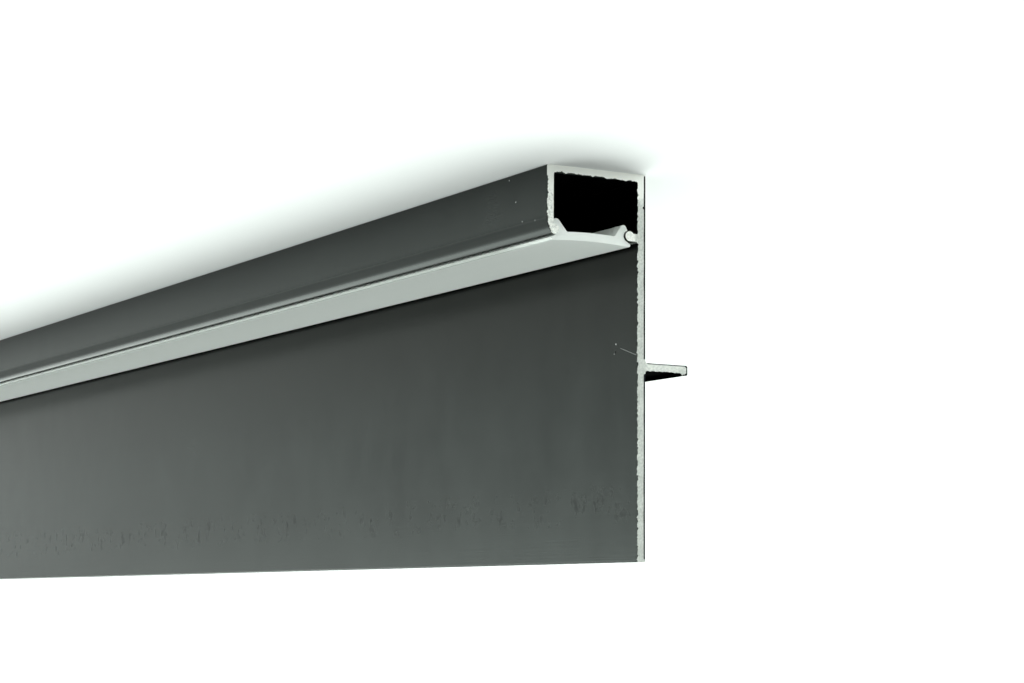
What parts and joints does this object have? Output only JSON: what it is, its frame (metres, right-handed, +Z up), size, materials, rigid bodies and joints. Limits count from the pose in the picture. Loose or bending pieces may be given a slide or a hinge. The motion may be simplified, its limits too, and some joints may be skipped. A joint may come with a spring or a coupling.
{
  "type": "aluminium trim extrusion profile",
  "caption": "Tall flat web with a narrow channel along its edge, closed by a snap-in milky light cover, and a small barbed fin along the web's back.",
  "frame": {"origin": "centre of the channel's flat back, halfway along the stock", "axes": "+Y along the stock, +Z up from the channel's back along the web, +X from the web towards the channel's lip"},
  "size_m": [0.0213, 1, 0.05],
  "materials": {
    "anodised_aluminium": "dark grey satin anodised, bare where it is sawn off",
    "milky_plastic": "matt translucent white"
  },
  "bodies": {
    "root": {"extrusion": "anodised_aluminium", "light_cover": "milky_plastic"}
  },
  "joints": []
}
